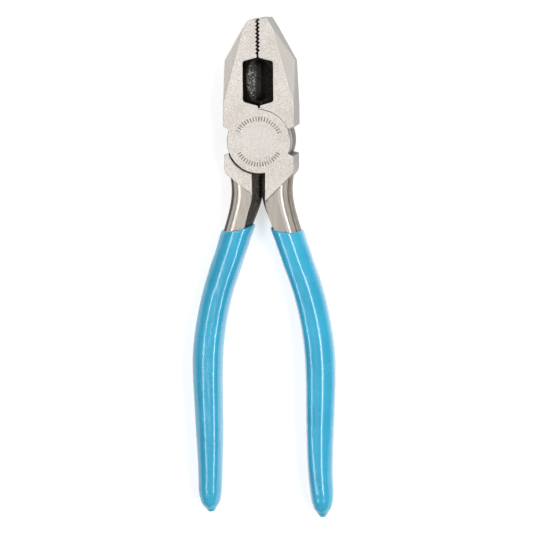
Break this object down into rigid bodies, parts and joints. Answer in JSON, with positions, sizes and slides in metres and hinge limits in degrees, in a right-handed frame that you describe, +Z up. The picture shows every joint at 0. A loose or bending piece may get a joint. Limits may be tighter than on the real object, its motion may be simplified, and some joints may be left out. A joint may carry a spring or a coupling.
{
  "type": "lineman pliers",
  "caption": "Side-cutting lineman pliers: flat toothed jaws, recessed wire cutters and a riveted lap joint, with long bowed handles in dipped vinyl grips.",
  "frame": {"origin": "pivot axis at the lower face of the joint, where the closed tool rests on a bench", "axes": "+Y along the tool towards the nose, +Z up through the joint along the pivot axis, +X towards the right handle"},
  "size_m": [0.0524, 0.1839, 0.0127],
  "materials": {
    "forged_steel": "drop-forged tool steel: head ground bright with a fine lengthwise grain, black forging scale left in the cutter window and between the handles",
    "rivet_steel": "rivet ground flush with the joint face",
    "grip_vinyl": "glossy light blue dip-coated vinyl"
  },
  "bodies": {
    "rear": {"rear_half": "forged_steel", "pivot_rivet": "rivet_steel", "left_grip": "grip_vinyl"},
    "front": {"front_half": "forged_steel", "right_grip": "grip_vinyl"}
  },
  "joints": [
    {"name": "pivot", "type": "hinge", "parent": "rear", "child": "front", "pos_m": [0, 0, 0.00635], "axis": [0, 0, 1], "range_deg": [0, 40]}
  ]
}
